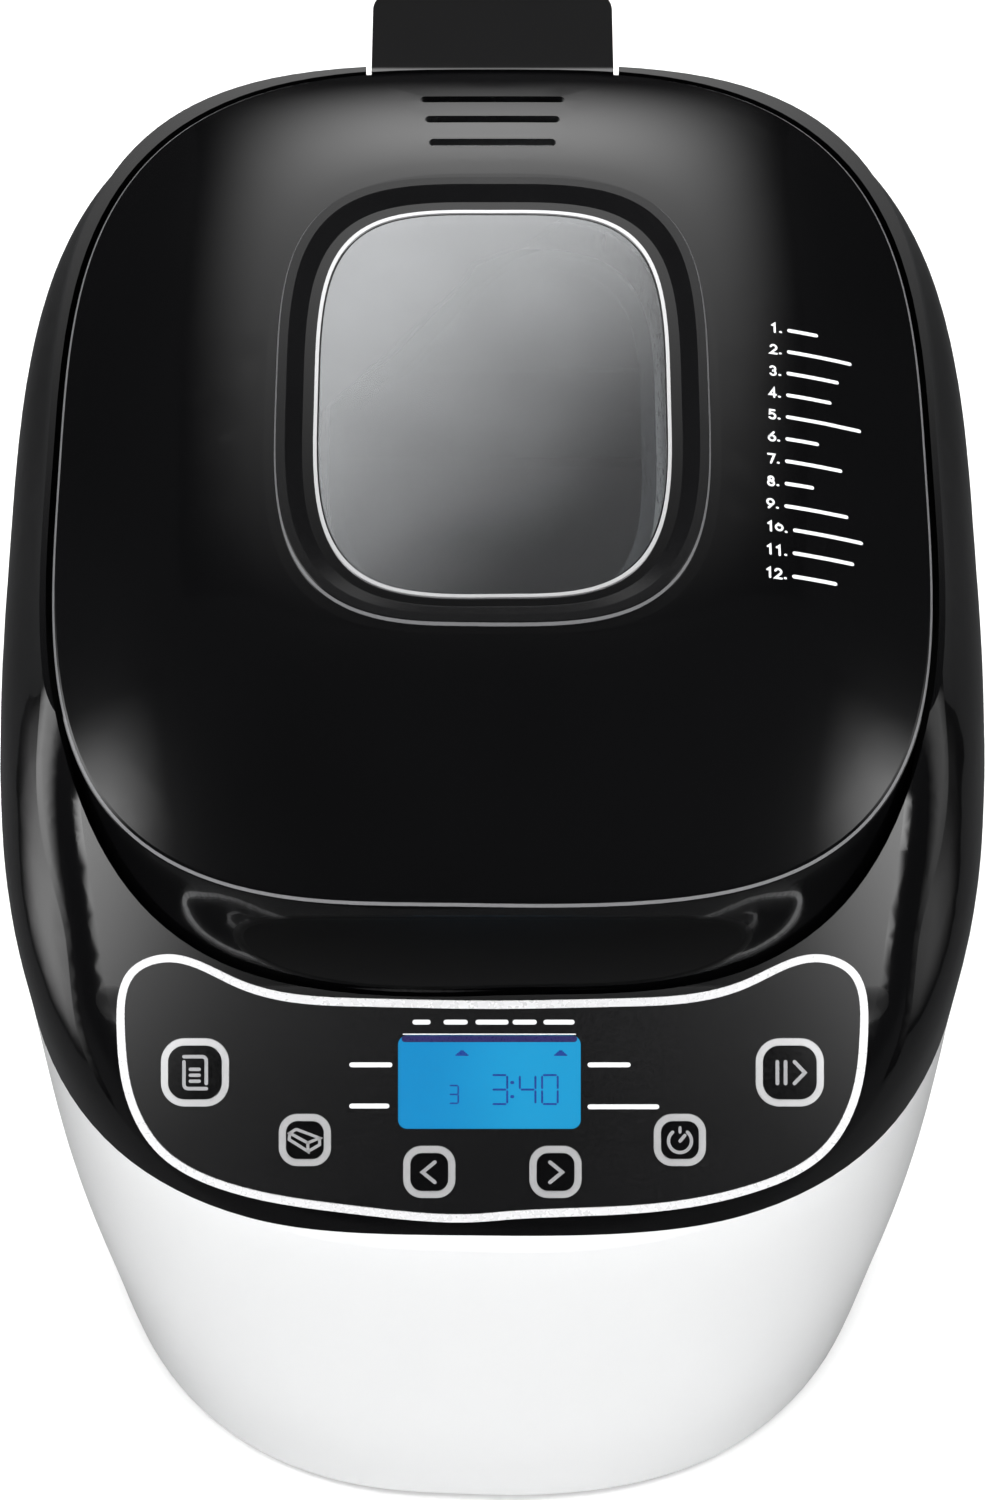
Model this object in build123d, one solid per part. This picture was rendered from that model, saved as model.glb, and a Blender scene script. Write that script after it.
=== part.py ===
from build123d import *
import math
import os

# A bread machine: a white casing, a black upper housing with a sloping control panel and a hinged,
# windowed lid, and the chamber, pan and belt drive inside.
# Millimetres, +Z up, the front faces -Y, and the origin is the centre of the footprint on the table.

# ---- driving dimensions: body -------------------------------------------------------------------
FOOT_HEIGHT = 4.0
WALL = 2.5
# half width, front Y, rear Y, roundness of the front and rear halves, Z at the front and rear
BASE_SECTION = (123.9, -169.7, 127.5, 2.55, 2.95, 4.0, 4.0)
WAIST_SECTION = (133.8, -177.1, 141.5, 2.74, 3.14, 85.0, 85.0)
PARTING_SECTION = (137.4, -180.0, 151.0, 2.93, 3.53, 161.0, 161.0)
SHOULDER_SECTION = (140.0, -168.4, 152.5, 3.1, 3.45, 190.0, 205.0)
CREST_SECTION = (135.9, -140.4, 153.0, 3.3, 3.37, 216.0, 272.0)
RIM_SECTION = (125.0, -132.0, 150.5, 3.5, 3.37, 240.0, 290.5)
BODY_SECTIONS = (
    BASE_SECTION, WAIST_SECTION, PARTING_SECTION, SHOULDER_SECTION, CREST_SECTION, RIM_SECTION,
)
PARTING_Z = 161.0
SHOULDER_RADIUS = 15.0
STEPS_PER_SPAN = 3

RIB_REACH_SIDE, RIB_REACH_FRONT = 17.5, 13.0
GLAND_AT = (-44.0, 129.5, 28.0)
FOOT_PLACES = [(side * 84.0, y) for side in (-1, 1) for y in (-122.0, 84.0)]
SCREW_PLACES = ((-58.0, -150.0), (58.0, -150.0), (-106.0, 20.0), (106.0, 20.0))

# ---- driving dimensions: lid --------------------------------------------------------------------
LID_HALF_WIDTH = 121.7
LID_FRONT, LID_REAR = -128.5, 147.5
LID_FRONT_Z, LID_REAR_Z = 240.0, 290.0
LID_ROUND_FRONT, LID_ROUND_REAR = 3.5, 3.1
LID_GAP = 1.6
LID_WALL = 2.4
LID_CROWN = 9.0
LID_CROWN_RUN = (58.0, 75.0, 47.0)
LID_BEVEL, BEVEL_RISE = 1.2, 1.5
COVE_RADIUS = 24.0
SKIRT_FRONT_Z, SKIRT_REAR_Z = 198.0, 276.0
SKIRT_LIFT = 1.5
HINGE_Y, HINGE_Z = 167.5, 288.0
EAR_RADIUS = 4.0
HINGE_PIN_RADIUS = 2.5
TONGUE_HALF_WIDTH = 36.0
TONGUE_REAR = 180.7
WINDOW_FRAME = (61.0, -51.5, 98.5, 3.4, 3.6)
WINDOW_GLASS = (50.0, -42.5, 87.0, 3.6, 3.8)
VENTS = ((131.4, 42.4), (122.1, 39.5), (112.3, 37.0))

# ---- driving dimensions: control panel ----------------------------------------------------------
DECK_ANGLE = 40.0
DECK_Y, DECK_Z = -177.0, 164.3
FASCIA_THICK = 1.6
TRIM_WIDTH = 2.3
TRIM_PROUD = 0.6
BUTTON_TRAVEL = 1.0
# name, across, up the panel, size, corner radius
BUTTONS = (
    ("menu", -80.1, 40.6, 18.3, 6.4),
    ("start", 80.1, 40.6, 18.3, 6.4),
    ("loaf", -50.5, 22.4, 14.0, 5.0),
    ("timer", 50.5, 22.4, 14.0, 5.0),
    ("less", -17.0, 13.8, 14.0, 5.0),
    ("more", 17.0, 13.8, 14.0, 5.0),
)
BUTTON_FRAME = 1.9
BUTTON_GAP = 0.25
DISPLAY_AT = (-0.8, 37.9)
DISPLAY_SIZE = (49.4, 25.3)

# ---- driving dimensions: chamber, pan and drive -------------------------------------------------
PAN_Y = 20.0
CHAMBER_HALF = (92.0, 86.0)
CHAMBER_FLOOR, CHAMBER_TOP = 62.0, 204.0
SHEET = 1.0
PAN_RIM_HALF = (74.0, 65.0)
PAN_BASE_HALF = (68.0, 59.0)
PAN_BASE_Z, PAN_RIM_Z = 74.0, 186.0
PAN_WALL = 2.0
HANDLE_PIVOT_Z = 179.0
HANDLE_ARM = 63.0
HANDLE_WIRE = 2.2
MOTOR_AT = (56.0, -106.0)
BIG_PULLEY_RADIUS = 46.0
SMALL_PULLEY_RADIUS = 8.0
PULLEY_Z = 26.0
BELT_WIDTH = 7.0
SHAFT_RADIUS = 4.0


# ---- shared shapes ------------------------------------------------------------------------------
def oval_point(angle, half_x, front, rear, n_front, n_rear):
    """A point of a soft rectangle whose two halves have their own roundness."""
    across = math.cos(angle)
    along = math.sin(angle)
    power = 2.0 / (n_front if along < 0 else n_rear)
    x = half_x * math.copysign(abs(across) ** power, across)
    y = (front + rear) / 2 + (rear - front) / 2 * math.copysign(abs(along) ** power, along)
    return x, y


def oval_wire(half_x, front, rear, n_front, n_rear, z_front=0.0, z_rear=0.0, count=28):
    """A closed smooth outline in a plane that rises from the front to the rear."""
    points = []
    for i in range(count):
        x, y = oval_point(2 * math.pi * i / count - math.pi / 2, half_x, front, rear, n_front, n_rear)
        z = z_front + (z_rear - z_front) * (y - front) / (rear - front)
        points.append((x, y, z))
    return Wire([Edge.make_spline([Vector(*p) for p in points], periodic=True)])


def inset_section(section, inset):
    half_x, front, rear, n_front, n_rear, z_front, z_rear = section
    return half_x - inset, front + inset, rear - inset, n_front, n_rear, z_front, z_rear


def section_height(section):
    return (section[5] + section[6]) / 2


def section_slope(sections, i):
    """How fast each value of a section changes with height, from its neighbours."""
    before, after = sections[max(i - 1, 0)], sections[min(i + 1, len(sections) - 1)]
    rise = section_height(after) - section_height(before)
    return [(b - a) / rise for a, b in zip(before, after)]


def blended_sections(sections):
    """The sections with smooth steps between them, so that the wall curves evenly."""
    blended = []
    for i in range(len(sections) - 1):
        low, high = sections[i], sections[i + 1]
        rise = section_height(high) - section_height(low)
        slope_low, slope_high = section_slope(sections, i), section_slope(sections, i + 1)
        for step in range(STEPS_PER_SPAN):
            u = step / STEPS_PER_SPAN
            weights = (2 * u**3 - 3 * u**2 + 1, u**3 - 2 * u**2 + u, 3 * u**2 - 2 * u**3, u**3 - u**2)
            blended.append([
                weights[0] * a + weights[1] * rise * ma + weights[2] * b + weights[3] * rise * mb
                for a, ma, b, mb in zip(low, slope_low, high, slope_high)
            ])
    return blended + [list(sections[-1])]


def body_form(inset, deck_drop):
    """The whole body as one solid: cut by the panel's plane, with a soft shoulder round the panel."""
    wires = [oval_wire(*inset_section(section, inset)) for section in blended_sections(BODY_SECTIONS)]
    form = Solid.make_loft(wires) - above_deck(-deck_drop)
    deck_face = max(
        [face for face in form.faces() if abs(face.normal_at().dot(DECK.z_dir)) > 0.999],
        key=lambda face: face.area,
    )
    shoulder = [edge for edge in deck_face.edges() if edge.geom_type != GeomType.LINE]
    return form.fillet(SHOULDER_RADIUS - inset, shoulder)


def outer_form():
    return body_form(0.0, 0.0)


def inner_form():
    return body_form(WALL, FASCIA_THICK + WALL)


def below_parting():
    return box_between((-200, -300, 0), (200, 300, PARTING_Z))


def above_parting():
    return box_between((-200, -300, PARTING_Z), (200, 300, 400))


def oval_prism(oval, inset, bottom, top):
    """A vertical prism on an oval outline."""
    half_x, front, rear, n_front, n_rear = oval
    wire = oval_wire(half_x - inset, front + inset, rear - inset, n_front, n_rear)
    return extrude(Pos(0, 0, bottom) * Face(wire), top - bottom)


def box_between(low, high):
    size = [high[i] - low[i] for i in range(3)]
    middle = [(high[i] + low[i]) / 2 for i in range(3)]
    return Pos(*middle) * Box(*size)


def rounded_prism(half_x, half_y, radius, bottom, top, y=PAN_Y, x=0.0):
    return Pos(x, y, bottom) * extrude(RectangleRounded(2 * half_x, 2 * half_y, radius), top - bottom)


def rod(radius, bottom, top, x=0.0, y=PAN_Y):
    return Pos(x, y, bottom) * extrude(Circle(radius), top - bottom)


def cross_rod(radius, x_from, x_to, y, z):
    """A rod along X."""
    return Pos(x_from, y, z) * Rot(0, 90, 0) * extrude(Circle(radius), x_to - x_from)


def side_slab(points, x_from, x_to):
    """A slab along X whose profile is a polygon of (y, z) points."""
    profile = Plane.YZ * make_face(Polyline(*points, close=True))
    return Pos(x_from, 0, 0) * extrude(profile, x_to - x_from)


def above_line(y0, z0, y1, z1, reach=420.0):
    """Everything above the plane that rises through two (y, z) points."""
    slope = (z1 - z0) / (y1 - y0)
    low = z0 - slope * (y0 + reach)
    high = z0 + slope * (reach - y0)
    return side_slab([(-reach, low), (reach, high), (reach, 900), (-reach, 900)], -300, 300)


def joined(shapes):
    total = shapes[0]
    for shape in shapes[1:]:
        total = total + shape
    return total


def save(name, shape):
    export_step(shape, "parts/" + name + ".step")


# ---- planes -------------------------------------------------------------------------------------
DECK = Plane(
    origin=(0, DECK_Y, DECK_Z),
    x_dir=(1, 0, 0),
    z_dir=(0, -math.sin(math.radians(DECK_ANGLE)), math.cos(math.radians(DECK_ANGLE))),
)
LID_SLOPE = (LID_REAR_Z - LID_FRONT_Z) / (LID_REAR - LID_FRONT)
SKIRT_SLOPE = (SKIRT_REAR_Z - SKIRT_FRONT_Z) / (LID_REAR - LID_FRONT)
LID_OVAL = (LID_HALF_WIDTH, LID_FRONT, LID_REAR, LID_ROUND_FRONT, LID_ROUND_REAR)


def lid_plane_z(y):
    return LID_FRONT_Z + LID_SLOPE * (y - LID_FRONT)


def skirt_plane_z(y):
    return SKIRT_FRONT_Z + SKIRT_SLOPE * (y - LID_FRONT)


def above_lid_plane(offset):
    return above_line(LID_FRONT, LID_FRONT_Z + offset, LID_REAR, LID_REAR_Z + offset)


def above_skirt_plane(offset):
    return above_line(LID_FRONT, SKIRT_FRONT_Z + offset, LID_REAR, SKIRT_REAR_Z + offset)


def on_deck(shape):
    return DECK * shape


def above_deck(offset):
    return on_deck(Pos(0, 0, 200 + offset) * Box(900, 900, 400))


def panel_outline(inset):
    """The silver ring's edge in panel coordinates: low at the front, with two raised corners."""
    right = [
        (38.5, 2.5), (71.8, 8.6), (90.5, 19.0), (98.6, 33.0), (101.3, 52.2),
        (97.6, 68.6), (88.5, 72.5), (68.5, 65.8), (34.0, 60.6),
    ]
    left = [(-x, v) for x, v in reversed(right)]
    points = [(0, 0.5)] + right + [(0, 60.0)] + left
    count = len(points)
    drawn_in = []
    for i, (x, v) in enumerate(points):
        x_before, v_before = points[i - 1]
        x_after, v_after = points[(i + 1) % count]
        dx, dv = x_after - x_before, v_after - v_before
        length = math.hypot(dx, dv)
        drawn_in.append(Vector(x - inset * dv / length, v + inset * dx / length, 0))
    return Face(Wire([Edge.make_spline(drawn_in, periodic=True)]))


def panel_prism(inset, bottom, top):
    return on_deck(Pos(0, 0, bottom) * extrude(panel_outline(inset), top - bottom))


def pad_prism(x, v, width, height, radius, bottom, top):
    """A rounded rectangular prism standing on the panel."""
    return on_deck(Pos(x, v, bottom) * extrude(RectangleRounded(width, height, radius), top - bottom))


# ---- casing and housing -------------------------------------------------------------------------
def screw_bosses():
    """Posts for the base screws, each with a rib that runs out to the wall."""
    pieces = []
    for x, y in SCREW_PLACES:
        post = rod(4.5, 6.9, 34, x, y)
        if abs(x) > 90:
            reach = x + math.copysign(RIB_REACH_SIDE, x)
            rib = box_between((min(x, reach), y - 1.5, 10), (max(x, reach), y + 1.5, 34))
        else:
            rib = box_between((x - 1.5, y - RIB_REACH_FRONT, 10), (x + 1.5, y, 34))
        pieces.append(post + rib - rod(1.6, 0, 16, x, y))
    return pieces


def lower_casing():
    outer = outer_form() & below_parting()
    shell = outer - inner_form()
    for boss in screw_bosses():
        shell += boss & outer
    for row in range(6):
        z = 46 + 9 * row
        for side in (-1, 1):
            shell -= Pos(side * 130, 40, z) * Box(40, 62, 3)
    for column in range(9):
        shell -= Pos(-32 + 8 * column, 150, 62) * Box(3, 60, 34)
    x, _, z = GLAND_AT
    return shell - Pos(x, 100, z) * Rot(-90, 0, 0) * extrude(Circle(7.05), 70)


def hinge_ears():
    """Two ears behind the rear wall that carry the hinge pin."""
    ears = []
    for side in (-1, 1):
        x_from = min(side * 14, side * 22)
        profile = [
            (150.2, 281.8), (HINGE_Y, HINGE_Z + EAR_RADIUS), (HINGE_Y, HINGE_Z - EAR_RADIUS),
            (153.5, 268.0), (150.2, 266.0),
        ]
        arm = side_slab(profile, x_from, x_from + 8)
        ears.append(arm + cross_rod(EAR_RADIUS, x_from, x_from + 8, HINGE_Y, HINGE_Z))
    return ears


def housing_cavity(collar):
    """The hollow inside the upper housing, clear of the panel, the lid's pocket and the collar."""
    cavity = inner_form()
    cavity -= oval_prism(LID_OVAL, -LID_GAP - WALL, 120, 320) & above_skirt_plane(-SKIRT_LIFT - WALL)
    cavity -= above_lid_plane(-3.0)
    return cavity - collar


def upper_housing():
    body = outer_form() & above_parting()
    hx, hy = CHAMBER_HALF
    collar = rounded_prism(hx + 2 + WALL, hy + 2 + WALL, 22, CHAMBER_TOP, 300)
    body -= housing_cavity(collar)
    body -= oval_prism(LID_OVAL, -LID_GAP, 120, 330) & above_skirt_plane(-SKIRT_LIFT)
    body -= rounded_prism(hx + 2, hy + 2, 20, 150, 300)
    body -= panel_prism(0, -FASCIA_THICK, 20)
    for _, x, v, size, radius in BUTTONS:
        body -= pad_prism(x, v, size + 3.4, size + 3.4, radius + 1.7, -12, 0)
    body -= pad_prism(*DISPLAY_AT, 56, 31, 2.5, -12, 0)
    notch = TONGUE_HALF_WIDTH + 1.7
    body -= box_between((-notch, 138, 282.0), (notch, 175, 320))
    body = joined([body] + hinge_ears())
    return body - cross_rod(HINGE_PIN_RADIUS, -40, 40, HINGE_Y, HINGE_Z)


def base_plate():
    half_x, front, rear, n_front, n_rear, _, _ = BASE_SECTION
    oval = (half_x, front, rear, n_front, n_rear)
    plate = oval_prism(oval, WALL + 0.6, 4.2, 6.7)
    for row in range(5):
        for column in range(7):
            plate -= Pos(-48 + 16 * column, 84 + 9 * row, 5) * Box(11, 3, 8)
    for x, y in FOOT_PLACES:
        plate -= Pos(x, y, 0) * Cylinder(3.0, 30)
    for x, y in SCREW_PLACES:
        plate -= Pos(x, y, 0) * Cylinder(1.7, 30)
    return plate


def rubber_foot(x, y):
    pad = Pos(x, y, 0) * extrude(Circle(11), 4.2, taper=6)
    neck = Pos(x, y, 4.2) * extrude(Circle(2.9), 2.5)
    return pad + neck + Pos(x, y, 6.7) * extrude(Circle(5.2), 2.0, taper=20)


def rear_rod(radius, y_from, y_to):
    """A rod along Y at the gland, measured from the rear wall's outer face."""
    x, y, z = GLAND_AT
    return Pos(x, y + y_from, z) * Rot(-90, 0, 0) * extrude(Circle(radius), y_to - y_from)


def cord_gland():
    """The moulded bushing at the rear that the mains cord passes through."""
    body = rear_rod(6.95, -8.2, 12.0)
    flange = rear_rod(9.4, -3.0, 4.2) - body_form(-0.2, 0.0)
    nut = rear_rod(9.0, -8.2, -5.2)
    ribs = [rear_rod(6.0 - 0.5 * k, 12.0 + 3.2 * k, 14.4 + 3.2 * k) for k in range(3)]
    sleeve = rear_rod(4.6, 12.0, 23.0)
    return joined([body, flange, nut, sleeve] + ribs) - rear_rod(3.4, -20.0, 40.0)


# ---- control panel ------------------------------------------------------------------------------
def panel_trim_ring():
    return panel_prism(0.1, -FASCIA_THICK, TRIM_PROUD) - panel_prism(TRIM_WIDTH, -5, 5)


def control_fascia():
    plate = panel_prism(TRIM_WIDTH + 0.1, -FASCIA_THICK, 0.0)
    for _, x, v, size, radius in BUTTONS:
        plate -= pad_prism(x, v, size + 0.2, size + 0.2, radius + 0.1, -5, 5)
    width, height = DISPLAY_SIZE
    return plate - pad_prism(*DISPLAY_AT, width, height, 2.5, -5, 5)


def button_frame(x, v, size, radius):
    inner = size - 2 * BUTTON_FRAME
    ring = pad_prism(x, v, size, size, radius, -2.6, 0.7)
    flange = pad_prism(x, v, size + 2.6, size + 2.6, radius + 1.3, -3.2, -FASCIA_THICK - 0.05)
    return ring + flange - pad_prism(x, v, inner, inner, radius - BUTTON_FRAME, -10, 10)


def button_cap(x, v, size, radius):
    inner = size - 2 * BUTTON_FRAME - 2 * BUTTON_GAP
    corner = radius - BUTTON_FRAME - BUTTON_GAP
    cap = pad_prism(x, v, inner, inner, corner, -3.0, 1.3)
    skirt = pad_prism(x, v, inner + 2.0, inner + 2.0, corner + 1.0, -6.0, -4.5)
    neck = pad_prism(x, v, inner, inner, corner, -4.6, -2.9)
    stem = on_deck(Pos(x, v, -10.4) * extrude(Circle(2.0), 5.0))
    return cap + neck + skirt + stem


def display_window():
    width, height = DISPLAY_SIZE
    return pad_prism(*DISPLAY_AT, width - 0.2, height - 0.2, 2.4, -FASCIA_THICK, -0.3)


def display_module():
    x, v = DISPLAY_AT
    return pad_prism(x, v, 54, 29, 1.5, -8.5, -FASCIA_THICK - 0.3)


BOARD_TOP = -15.0


def control_board():
    board = pad_prism(0, 29.0, 124, 46, 2, BOARD_TOP - 1.6, BOARD_TOP)
    board += pad_prism(0, 38.0, 178, 28, 2, BOARD_TOP - 1.6, BOARD_TOP)
    for x, v in ((-86, 49), (86, 49), (-58, 9), (58, 9)):
        board -= on_deck(Pos(x, v, BOARD_TOP) * Cylinder(1.7, 10))
    x, v = DISPLAY_AT
    pieces = [board, pad_prism(x, v, 50, 5, 0.5, BOARD_TOP, -8.5)]
    for _, bx, bv, _, _ in BUTTONS:
        pieces.append(pad_prism(bx, bv, 6.2, 6.2, 0.5, BOARD_TOP, BOARD_TOP + 3.3))
    pieces.append(pad_prism(-30, 12, 12, 12, 0.4, BOARD_TOP - 3.4, BOARD_TOP - 1.6))
    pieces.append(pad_prism(60, 44, 18, 6, 0.4, BOARD_TOP - 8, BOARD_TOP - 1.6))
    return joined(pieces)


def power_board():
    board = box_between((-80, -132, 14), (-16, -84, 15.6))
    parts = [
        box_between((-77, -124, 15.6), (-51, -94, 43)),
        box_between((-47, -129, 15.6), (-32, -116, 36)),
        box_between((-47, -110, 15.6), (-30, -99, 31)),
        rod(5.5, 15.6, 40, -24, -121),
        rod(4.0, 15.6, 34, -22, -104),
        box_between((-46, -95, 15.6), (-30, -89, 28)),
    ]
    posts = [rod(3.0, 6.7, 14, x, y) for x in (-70, -22) for y in (-128, -88)]
    return joined([board] + parts + posts)


# ---- lid ----------------------------------------------------------------------------------------
def lid_wire(inset, height):
    """The lid's outline, drawn in and lifted from its edge plane."""
    return tilted_ring(LID_OVAL, inset, height)


def skirt_wire(inset, height):
    """The same outline on the lower edge of the lid's skirt."""
    half_x, front, rear, n_front, n_rear = LID_OVAL
    front, rear = front + inset, rear - inset
    return oval_wire(half_x - inset, front, rear, n_front, n_rear,
                     skirt_plane_z(front) + height, skirt_plane_z(rear) + height)


def lid_crown(inset, lift, stops=6):
    """The gently domed top of the lid, up to the flat under the window frame."""
    side_run, front_run, rear_run = LID_CROWN_RUN
    _, lid_front, lid_rear, n_front, n_rear = LID_OVAL
    wires = []
    for i in range(stops + 1):
        part = i / stops
        height = lift + LID_CROWN * (1 - (1 - part) ** 2)
        half_x = LID_HALF_WIDTH - inset - part * (side_run - inset)
        front = lid_front + inset + part * (front_run - inset)
        rear = lid_rear - inset - part * (rear_run - inset)
        wires.append(oval_wire(half_x, front, rear, n_front, n_rear,
                               lid_plane_z(front) + height, lid_plane_z(rear) + height))
    return Solid.make_loft(wires)


def grip_cove(radius):
    """The hollow across the lid's front wall that the fingers pull on."""
    return cross_rod(radius, -200, 200, LID_FRONT - 19.0, 221.0)


def tongue(inset, bottom):
    """The outer form of the hinge tongue, made smaller all round for its hollow."""
    half = TONGUE_HALF_WIDTH - inset
    outline = Pos(0, (120 + TONGUE_REAR) / 2, 0) * RectangleRounded(2 * half, 60 - 2 * inset, 9)
    block = Pos(0, 0, bottom) * extrude(outline, 60)
    return block - above_line(LID_REAR, 292.2 - inset, TONGUE_REAR, 295.2 - inset)


def lid_shell():
    skirt = Solid.make_loft([skirt_wire(0, 0), lid_wire(0, 0), lid_wire(LID_BEVEL, BEVEL_RISE)], True)
    outer = skirt + lid_crown(LID_BEVEL, BEVEL_RISE) - grip_cove(COVE_RADIUS)
    hollow = Solid.make_loft([skirt_wire(LID_WALL, -3), lid_wire(LID_WALL, -1)], True)
    hollow = hollow + lid_crown(LID_WALL, -1) - grip_cove(COVE_RADIUS + LID_WALL)
    shell = outer - hollow
    arm = tongue(0, 284.6) - oval_prism(LID_OVAL, 1.0, 150, 330)
    arm -= tongue(1.6, 250) - oval_prism(LID_OVAL, -1.0, 150, 330)
    shell += arm
    for y, length in VENTS:
        shell -= Pos(0, y, 260) * extrude(SlotOverall(length, 3.0), 60)
    shell -= oval_prism(WINDOW_GLASS, 1.5, 200, 330)
    return shell - cross_rod(HINGE_PIN_RADIUS + 0.06, -40, 40, HINGE_Y, HINGE_Z)


WINDOW_BASE = BEVEL_RISE + LID_CROWN


def tilted_ring(oval, inset, height):
    half_x, front, rear, n_front, n_rear = oval
    front, rear = front + inset, rear - inset
    return oval_wire(half_x - inset, front, rear, n_front, n_rear,
                     lid_plane_z(front) + height, lid_plane_z(rear) + height)


def window_block(oval, low_inset, low, high_inset, high):
    """A straight-sided block between two lifted copies of an outline."""
    return Solid.make_loft([tilted_ring(oval, low_inset, low), tilted_ring(oval, high_inset, high)], True)


def window_frame():
    """A bezel on the lid's flat top, which slopes down to the glass."""
    outer = window_block(WINDOW_FRAME, 0, WINDOW_BASE, 0.8, WINDOW_BASE + 1.6)
    low = tilted_ring(WINDOW_GLASS, 0, WINDOW_BASE - 1.0)
    high = tilted_ring(WINDOW_FRAME, 2.6, WINDOW_BASE + 1.8)
    return outer - Solid.make_loft([low, high], True)


def window_trim():
    """The thin bright line round the glass."""
    outer = window_block(WINDOW_GLASS, 0.1, WINDOW_BASE, 0.1, WINDOW_BASE + 0.6)
    return outer - window_block(WINDOW_GLASS, 1.1, WINDOW_BASE - 1, 1.1, WINDOW_BASE + 2)


def outer_glass():
    return window_block(WINDOW_GLASS, 1.6, WINDOW_BASE - 3.0, 1.6, WINDOW_BASE + 0.2)


def lid_liner():
    """The metal tray under the lid, with its opening under the window and a heat shield wall."""
    plate = oval_prism(LID_OVAL, LID_WALL + 0.4, 150, 330) - above_lid_plane(-4.0)
    plate &= above_lid_plane(-5.0)
    plate -= grip_cove(COVE_RADIUS + LID_WALL + 0.4)
    hx, hy = CHAMBER_HALF
    shield = rounded_prism(hx + 9, hy + 9, 26, 150, 320) - rounded_prism(hx + 8, hy + 8, 25, 140, 330)
    shield = (shield & above_skirt_plane(2.0)) - above_lid_plane(-4.5)
    return plate + shield - oval_prism(WINDOW_GLASS, 8.0, 200, 330)


def inner_glass():
    return window_block(WINDOW_GLASS, 4.0, -3.9, 4.0, -0.9)


def lid_hinge_pin():
    return cross_rod(HINGE_PIN_RADIUS, -35.5, 35.5, HINGE_Y, HINGE_Z)


# ---- chamber ------------------------------------------------------------------------------------
def chamber():
    hx, hy = CHAMBER_HALF
    box = rounded_prism(hx + SHEET, hy + SHEET, 21, CHAMBER_FLOOR - SHEET, CHAMBER_TOP)
    flange = rounded_prism(hx + 4.2, hy + 4.2, 22, CHAMBER_TOP - SHEET, CHAMBER_TOP - 0.05)
    box = box + flange - rounded_prism(hx, hy, 20, CHAMBER_FLOOR, 300)
    box -= rod(9.05, 40, 80)
    for side in (-1, 1):
        box -= Pos(side * 30, PAN_Y + hy, 84) * Rot(90, 0, 0) * Cylinder(4.2, 20)
    return box


def pan_socket():
    """The raised ring on the chamber floor that the pan's foot drops into."""
    ring = rod(37, CHAMBER_FLOOR, 71) - rod(33.5, 50, 90)
    floor = rod(41, CHAMBER_FLOOR, CHAMBER_FLOOR + 1.5) - rod(12, 50, 90)
    lugs = [Pos(0, PAN_Y, 0) * Rot(0, 0, 90 * k + 45) * box_between((31.2, -5, 67), (34.5, 5, 70))
            for k in range(4)]
    return joined([ring, floor] + lugs)


def heating_element():
    """A tubular element bent round the chamber, with both ends through the rear wall."""
    hx, hy, corner, z = 84.5, 78.0, 24.0, 84.0
    y_rear = PAN_Y + hy
    y_exit = PAN_Y + CHAMBER_HALF[1] + 14
    route = [
        (-30, y_exit, z), (-30, y_rear, z), (-hx, y_rear, z), (-hx, PAN_Y - hy, z),
        (hx, PAN_Y - hy, z), (hx, y_rear, z), (30, y_rear, z), (30, y_exit, z),
    ]
    path = FilletPolyline(*route, radius=7.0)
    return sweep(Plane(path @ 0, z_dir=path % 0) * Circle(3.2), path)


def element_brackets():
    pieces = []
    for side in (-1, 1):
        for y in (-26, 66):
            low = min(side * 80.0, side * 91.9)
            arm = box_between((low, y - 4, 87.4), (low + 11.9, y + 4, 88.9))
            pieces.append(arm)
    return Compound(children=pieces)


def temperature_sensor():
    hy = CHAMBER_HALF[1]
    probe = Pos(-62, PAN_Y + hy - 14, 120) * Rot(-90, 0, 0) * extrude(Circle(2.4), 13.9)
    return probe


def chassis_plate():
    """The steel plate that carries the chamber, the motor and the bearing."""
    plate = rounded_prism(88, 84, 12, 56, 58.5)
    plate += box_between((-86, -138, 56), (86, -60, 58.5))
    for x, y in ((66, -126), (-8, -130)):
        plate += rod(5, 6.7, 56, x, y)
    for x in (-66, 66):
        for y in (-52, 90):
            plate += rod(5, 6.7, 56, x, y)
            plate += rod(6, 58.5, CHAMBER_FLOOR - SHEET, x, y)
    plate -= rod(9.05, 40, 80)
    return plate - rod(12, 40, 80, *MOTOR_AT)


# ---- drive --------------------------------------------------------------------------------------
def bearing():
    body = rod(9.0, 46, 63) + rod(13, 46, 56)
    return body - rod(SHAFT_RADIUS + 0.05, 40, 80)


def drive_shaft():
    return rod(SHAFT_RADIUS, 16, 69)


def drive_coupling():
    """The lower dog: a hub with two drive wings."""
    hub = rod(8.5, 64.0, 69) - rod(SHAFT_RADIUS, 60, 80)
    for turn in (0, 180):
        hub += Pos(0, PAN_Y, 0) * Rot(0, 0, turn) * box_between((7, -3, 64.0), (20, 3, 68.5))
    return hub


def grooved_wheel(radius, bore, x, y, web=False):
    """A flanged pulley whose rim carries the belt."""
    half = BELT_WIDTH / 2
    wheel = rod(radius, PULLEY_Z - half - 0.4, PULLEY_Z + half + 0.4, x, y)
    for z in (PULLEY_Z - half - 2.0, PULLEY_Z + half + 0.4):
        wheel += rod(radius + 2.6, z, z + 1.6, x, y)
    if web:
        for turn in range(6):
            hole = Pos(x, y, 0) * Rot(0, 0, 60 * turn) * rod(8.5, 0, 60, radius * 0.58, 0)
            wheel -= hole
    return wheel - rod(bore, 0, 80, x, y)


def large_pulley():
    wheel = grooved_wheel(BIG_PULLEY_RADIUS, SHAFT_RADIUS, 0, PAN_Y, True)
    return wheel + (rod(9, 31, 40) - rod(SHAFT_RADIUS, 0, 80))


def motor_pulley():
    x, y = MOTOR_AT
    return grooved_wheel(SMALL_PULLEY_RADIUS, 2.5, x, y)


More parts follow.
